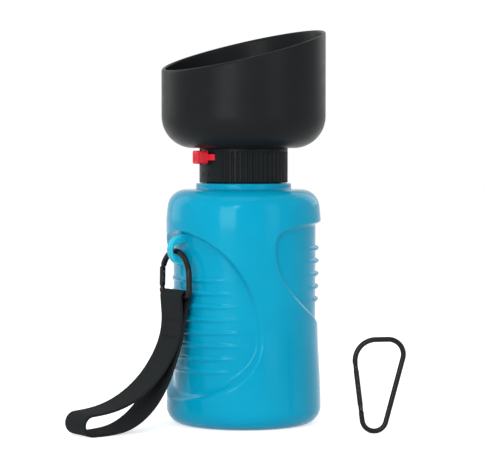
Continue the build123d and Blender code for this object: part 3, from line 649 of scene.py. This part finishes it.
def bowl_profile(rim_z):
    """Section of the bowl's wall from its hole's lower edge round the rim to its hole's upper edge."""
    inside_r = BOWL_R - BOWL_WALL
    corner_in = BOWL_CORNER_R - BOWL_WALL
    centre_r = BOWL_R - BOWL_CORNER_R
    centre_z = CAP_TOP_Z + BOWL_CORNER_R
    under = [(r, CAP_TOP_Z) for r in np.linspace(BOWL_HOLE_R, centre_r, 14)]
    heel = [tuple(p) for p in arc((centre_r, centre_z), BOWL_CORNER_R, -90, 0, 30)][1:]
    edge_z = rim_z - BOWL_WALL / 2
    outside = [(BOWL_R, centre_z + (edge_z - centre_z) * t) for t in np.linspace(0, 1, 25)][1:]
    rim = [tuple(p) for p in arc((BOWL_R - BOWL_WALL / 2, edge_z), BOWL_WALL / 2, 0, 180, 10)][1:]
    inside = [(inside_r, edge_z + (centre_z - edge_z) * t) for t in np.linspace(0, 1, 25)][1:]
    inner_heel = [tuple(p) for p in arc((centre_r, centre_z), corner_in, 0, -90, 30)][1:]
    floor = [(r, CAP_TOP_Z + BOWL_FLOOR_T) for r in np.linspace(centre_r, BOWL_HOLE_R, 14)][1:]
    return under + heel + outside + rim + inside + inner_heel + floor


def make_bowl():
    """Bowl with its slanted rim: a section at each heading, joined all round."""
    columns = 240
    sections = []
    for heading in np.linspace(-180, 180, columns, endpoint=False):
        low_y = -BOWL_R * math.cos(math.radians(heading))
        section = np.array(bowl_profile(RIM_AXIS_Z + RIM_SLOPE * low_y))
        # the rim's cut is a plane, so the inner edge leans with it
        lean = (section[:, 0] - BOWL_R) * -RIM_SLOPE * math.cos(math.radians(heading))
        above = np.clip((section[:, 1] - CAP_TOP_Z - BOWL_CORNER_R) / 10, 0, 1)
        section[:, 1] += lean * above
        sections.append(around(heading, section[:, 0], section[:, 1]))
    points = np.stack(sections, axis=1).reshape(-1, 3)
    rows = len(sections[0])
    return new_mesh("bowl_wall", points, grid_faces(rows, columns, wrap_rows=True))


def fold_over(bowl):
    """The real bowl turns inside out over the bottle; here its placement is only baked into its mesh and its points
    read in millimetres, and the wall is not mirrored.
    """
    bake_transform(bowl)
    count = len(bowl.data.vertices)
    co = np.zeros(count * 3)
    bowl.data.vertices.foreach_get("co", co)
    co = co.reshape(-1, 3) / MM


# ================================================================ wrist strap

def strap_line():
    """Middle line of the webbing loop in Y and Z, closed, at even steps."""
    outer = bezier_chain(OUTER_LEG, 14)
    end_centre = (OUTER_LEG[-1][0], (OUTER_LEG[-1][1] + INNER_LEG[0][1]) / 2)
    end = arc(end_centre, END_TURN_R, 90, 270, 24)
    inner = bezier_chain(INNER_LEG, 14)
    bar = arc((RING_Y, BAR_Z), BAR_LOOP_R, 0, 180, 18)
    return resample(outer + end[1:-1] + inner + bar[1:-1], STRAP_STEP)


def band_section():
    """Flat band's section: across and outward, with rounded selvedges."""
    thick = STRAP_T / 2
    edge = STRAP_WIDTH / 2 - SELVEDGE
    flat = np.linspace(-edge, edge, 21)
    turn = np.linspace(0.35, math.pi - 0.35, 7)
    top = [(x, thick) for x in flat]
    right = [(edge + SELVEDGE * math.sin(a), thick * math.cos(a)) for a in turn]
    low = [(x, -thick) for x in flat[::-1]]
    left = [(-edge - SELVEDGE * math.sin(a), -thick * math.cos(a)) for a in turn]
    return top + right + low + left


def make_strap():
    """Webbing loop: the band's section carried round its middle line."""
    line = strap_line()
    count = len(line)
    ahead, behind = np.roll(line, -1, axis=0), np.roll(line, 1, axis=0)
    run = ahead - behind
    run /= np.linalg.norm(run, axis=1)[:, None]
    outward = np.stack([-run[:, 1], run[:, 0]], axis=-1)
    section = band_section()
    points = []
    for (y, z), (ny, nz) in zip(line, outward):
        for across, off in section:
            points.append((across, y + ny * off, z + nz * off))
    strap = new_mesh("wrist_webbing", np.array(points), grid_faces(count, len(section), wrap_rows=True))
    strap.data.validate()
    uv = strap.data.uv_layers.new(name="band")
    width = len(section)
    travelled = distances_along(np.vstack([line, line[:1]]))
    for polygon in strap.data.polygons:
        rows = [v // width for v in polygon.vertices]
        wraps = max(rows) - min(rows) > 1
        for loop, vertex in zip(polygon.loop_indices, polygon.vertices):
            row = vertex // width
            row = count if wraps and row == 0 else row
            uv.data[loop].uv = (section[vertex % width][0], travelled[row])
    return strap


def nearest_on_strap(z, outer):
    """Point and run of the strap's middle line at a height, on its outer or inner leg."""
    leg = np.array(bezier_chain(OUTER_LEG if outer else INNER_LEG, 14))
    i = int(np.argmin(np.abs(leg[:, 1] - z)))
    i = min(max(i, 1), len(leg) - 2)
    run = leg[i + 1] - leg[i - 1]
    run /= np.linalg.norm(run)
    return leg[i], run


def add_stitch(bm, x, base, run, out):
    """One arched stitch across the band at a place on its surface."""
    sides = 6
    rings = []
    for a in np.linspace(0, math.pi, 7):
        across = -math.cos(a) * STITCH_HALF_LENGTH
        lift = STITCH_LIFT * math.sin(a)
        ring = []
        for b in np.linspace(0, math.tau, sides, endpoint=False):
            y, z = base + run * math.cos(b) * THREAD_R + out * (lift + math.sin(b) * THREAD_R)
            ring.append(bm.verts.new(Vector((x + across, y, z)) * MM))
        rings.append(ring)
    for first, second in zip(rings, rings[1:]):
        for j in range(sides):
            k = (j + 1) % sides
            bm.faces.new((first[j], first[k], second[k], second[j]))
    bm.faces.new(rings[0][::-1])
    bm.faces.new(rings[-1])


def make_stitches():
    """Rows of stitches on both faces of the strap."""
    bm = bmesh.new()
    for z in STITCH_ROWS_Z:
        for outer in (True, False):
            centre, run = nearest_on_strap(z, outer)
            out = np.array([run[1], -run[0]])
            if (out[0] < 0) != outer:
                out = -out
            base = centre + out * (STRAP_T / 2 + 0.02)
            for k in range(STITCHES_PER_ROW):
                x = (k - (STITCHES_PER_ROW - 1) / 2) * STITCH_PITCH
                add_stitch(bm, x, base, run, out)
    bmesh.ops.recalc_face_normals(bm, faces=bm.faces)
    return smooth_object("strap_stitches", bm)


# ================================================================ small details

def rounded_box(name, boxes, bevel):
    """One mesh of boxes with rounded edges. Each is a centre, three half-axes and three half-sizes."""
    bm = bmesh.new()
    for centre, axes, halves in boxes:
        made = bmesh.ops.create_cube(bm, size=2.0)["verts"]
        for v in made:
            offset = sum((Vector(axes[k]) * v.co[k] * halves[k] for k in range(3)), Vector())
            v.co = (Vector(centre) + offset) * MM
    bmesh.ops.recalc_face_normals(bm, faces=bm.faces)
    bmesh.ops.bevel(bm, geom=list(bm.edges), offset=bevel * MM, segments=3, profile=0.5, affect="EDGES")
    return smooth_object(name, bm)


def make_lever_grip():
    """Upright ridges on the lever's outer end and on its two sides."""
    angle = math.radians(LEVER_HEADING)
    out = Vector((math.sin(angle), -math.cos(angle), 0))
    side = Vector((math.cos(angle), math.sin(angle), 0))
    up = Vector((0, 0, 1))
    middle = out * (CAP_R + LEVER_PROUD) + up * LEVER_MID_Z
    ridge_half = LEVER_HEIGHT / 2 - GRIP_RIDGE_SINK
    boxes = []
    for k in (-1, 0, 1):
        boxes.append((middle + side * (k * 1.35) - out * 0.05, (side, out, up), (0.32, 0.3, ridge_half)))
    for hand in (-1, 1):
        for k in range(3):
            centre = middle - out * (1.2 + 1.25 * k) + side * (hand * LEVER_WIDTH / 2)
            boxes.append((centre, (out, side, up), (0.3, 0.22, ridge_half)))
    return rounded_box("lever_grip", boxes, 0.14)


def make_turn_mark():
    """Raised two-way arrow on the cap's smooth side below the lever: the way that the lever turns."""
    head = [(along, MARK_HEAD_HALF * along / MARK_HEAD_LENGTH) for along in np.linspace(0, MARK_HEAD_LENGTH, 7)]
    shaft = [(MARK_HEAD_LENGTH, MARK_SHAFT_HALF)]
    shaft += [(along, MARK_SHAFT_HALF) for along in np.linspace(MARK_HEAD_LENGTH, MARK_HALF_LENGTH, 6)]
    half_run = head + shaft
    run = [(along - MARK_HALF_LENGTH, half) for along, half in half_run]
    run += [(MARK_HALF_LENGTH - along, half) for along, half in half_run[::-1]]
    points = []
    for along, half in run:
        half = max(half, 0.03)
        heading = MARK_HEADING + math.degrees(along / CAP_R)
        edge = min(0.12, half / 2)
        top = half - edge
        for out, up in ((-MARK_SUNK, -half), (MARK_PROUD, -top), (MARK_PROUD, top), (-MARK_SUNK, half)):
            points.append(around(heading, np.float64(CAP_R + out), MARK_Z + up))
    faces = grid_faces(len(run), 4)
    faces += [(3, 2, 1, 0), tuple(range(4 * len(run) - 4, 4 * len(run)))]
    mark = new_mesh("turn_mark", np.array(points), faces)
    mark.data.polygons.foreach_set("use_smooth", [False] * len(mark.data.polygons))
    return mark


# ================================================================ camera, light and floor

def direction(heading, elevation):
    """Unit vector towards a heading from the front and an elevation."""
    a, e = math.radians(heading), math.radians(elevation)
    return Vector((math.sin(a) * math.cos(e), -math.cos(a) * math.cos(e), math.sin(e)))


def make_camera():
    """Camera where the photograph was taken from."""
    data = bpy.data.cameras.new("camera")
    camera = bpy.data.objects.new("camera", data)
    bpy.context.scene.collection.objects.link(camera)
    data.lens = CAMERA_LENS
    data.sensor_width = 36.0
    camera.location = direction(CAMERA_HEADING, 0) * CAMERA_DISTANCE * MM + Vector((0, 0, CAMERA_HEIGHT * MM))
    forward = -direction(CAMERA_HEADING + CAMERA_YAW, CAMERA_PITCH)
    camera.rotation_mode = "QUATERNION"
    camera.rotation_quaternion = forward.to_track_quat("-Z", "Y")
    bpy.context.scene.camera = camera


def make_softbox(name, turn, elevation, distance, width, height, power):
    """Rectangular lamp that faces the bottle's upper half."""
    data = bpy.data.lights.new(name, "AREA")
    data.shape = "RECTANGLE"
    data.size, data.size_y = width, height
    data.energy = power
    light = bpy.data.objects.new(name, data)
    bpy.context.scene.collection.objects.link(light)
    away = direction(CAMERA_HEADING + turn, elevation)
    light.location = Vector((0, 0, LIGHT_TARGET_Z * MM)) + away * distance
    light.rotation_mode = "QUATERNION"
    light.rotation_quaternion = away.to_track_quat("Z", "Y")


def seen_directly(tree):
    """1 for what the camera sees straight, in a reflection or through glass, and 0 for light that falls on things."""
    path = tree.nodes.new("ShaderNodeLightPath")
    total = path.outputs["Is Camera Ray"]
    for key in ("Is Glossy Ray", "Is Transmission Ray"):
        add = tree.nodes.new("ShaderNodeMath")
        add.operation = "MAXIMUM"
        tree.links.new(total, add.inputs[0])
        tree.links.new(path.outputs[key], add.inputs[1])
        total = add.outputs[0]
    return total


def make_world():
    """Even studio light, and plain white where the world is seen."""
    world = bpy.data.worlds.new("studio")
    bpy.context.scene.world = world
    world.use_nodes = True
    tree = world.node_tree
    background = tree.nodes["Background"]
    mix = tree.nodes.new("ShaderNodeMix")
    mix.data_type = "RGBA"
    mix.inputs[6].default_value = WORLD_LIGHT
    mix.inputs[7].default_value = WHITE
    tree.links.new(seen_directly(tree), mix.inputs["Factor"])
    tree.links.new(mix.outputs[2], background.inputs["Color"])


def make_floor():
    """Pale floor: it shades as a matt surface and, where it is seen, is lifted towards white but keeps shadows."""
    corners = [(x * FLOOR_HALF, y * FLOOR_HALF, 0) for x, y in ((-1, -1), (1, -1), (1, 1), (-1, 1))]
    floor = new_mesh("floor", corners, [(0, 1, 2, 3)])
    material = bpy.data.materials.new("floor_pale")
    material.use_nodes = True
    tree = material.node_tree
    tree.nodes.clear()
    output = tree.nodes.new("ShaderNodeOutputMaterial")
    matt = tree.nodes.new("ShaderNodeBsdfDiffuse")
    matt.inputs["Color"].default_value = (FLOOR_TONE, FLOOR_TONE, FLOOR_TONE, 1.0)
    lift = tree.nodes.new("ShaderNodeEmission")
    lift.inputs["Color"].default_value = WHITE
    scaled = tree.nodes.new("ShaderNodeMath")
    scaled.operation = "MULTIPLY"
    scaled.inputs[1].default_value = FLOOR_LIFT
    tree.links.new(seen_directly(tree), scaled.inputs[0])
    tree.links.new(scaled.outputs[0], lift.inputs["Strength"])
    add = tree.nodes.new("ShaderNodeAddShader")
    tree.links.new(matt.outputs[0], add.inputs[0])
    tree.links.new(lift.outputs[0], add.inputs[1])
    tree.links.new(add.outputs[0], output.inputs["Surface"])
    floor.data.materials.append(material)


# ================================================================ assembly

def dress_cad(materials):
    """Carried-over CAD nodes get their materials by slot."""
    by_slot = {s["node"]: s["material_slot"] for s in frame["record"]["subparts"]}
    for name, obj in frame["nodes"].items():
        material = materials[by_slot[name]]
        if not obj.data.materials:
            obj.data.materials.append(material)
        for i in range(len(obj.data.materials)):
            obj.data.materials[i] = material


def main():
    """Dress the frame, build the pieces and let each but the bowl ride on its body."""
    materials = {
        "bottle_plastic": bottle_plastic(),
        "cap_plastic": black_plastic("cap_plastic_grained", (0.0096, 0.0114, 0.0122), 0.34, 1600.0),
        "lock_plastic": red_plastic(),
        "valve_plastic": pale_plastic(),
        "seal_rubber": clear_rubber(),
        "bowl_silicone": black_silicone(),
        "webbing": black_webbing(),
        "ring_metal": painted_wire(),
        "pin_steel": plain_steel(),
    }
    dress_cad(materials)
    bpy.context.scene.view_settings.view_transform = "Standard"

    make_camera()
    make_world()
    make_floor()
    for softbox in SOFTBOXES:
        make_softbox(*softbox)

    bottle = make_bottle(materials["bottle_plastic"])
    give(bottle, materials["bottle_plastic"], "bottle", "bottle_shell", slot="bottle_plastic")
    give(make_neck_thread(), materials["bottle_plastic"], "bottle", slot="bottle_plastic")
    give(make_lug(), lug_plastic(), "bottle", slot="bottle_plastic")

    bowl = make_bowl()
    bowl.data.materials.append(materials["bowl_silicone"])
    fold_over(bowl)
    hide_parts("bowl")

    give(make_strap(), materials["webbing"], "strap", "strap", slot="webbing")
    give(make_stitches(), sewing_thread(), "strap", slot="webbing")
    give(make_lever_grip(), materials["lock_plastic"], "lock", slot="lock_plastic")
    give(make_turn_mark(), materials["cap_plastic"], "cap", slot="cap_plastic")


main()
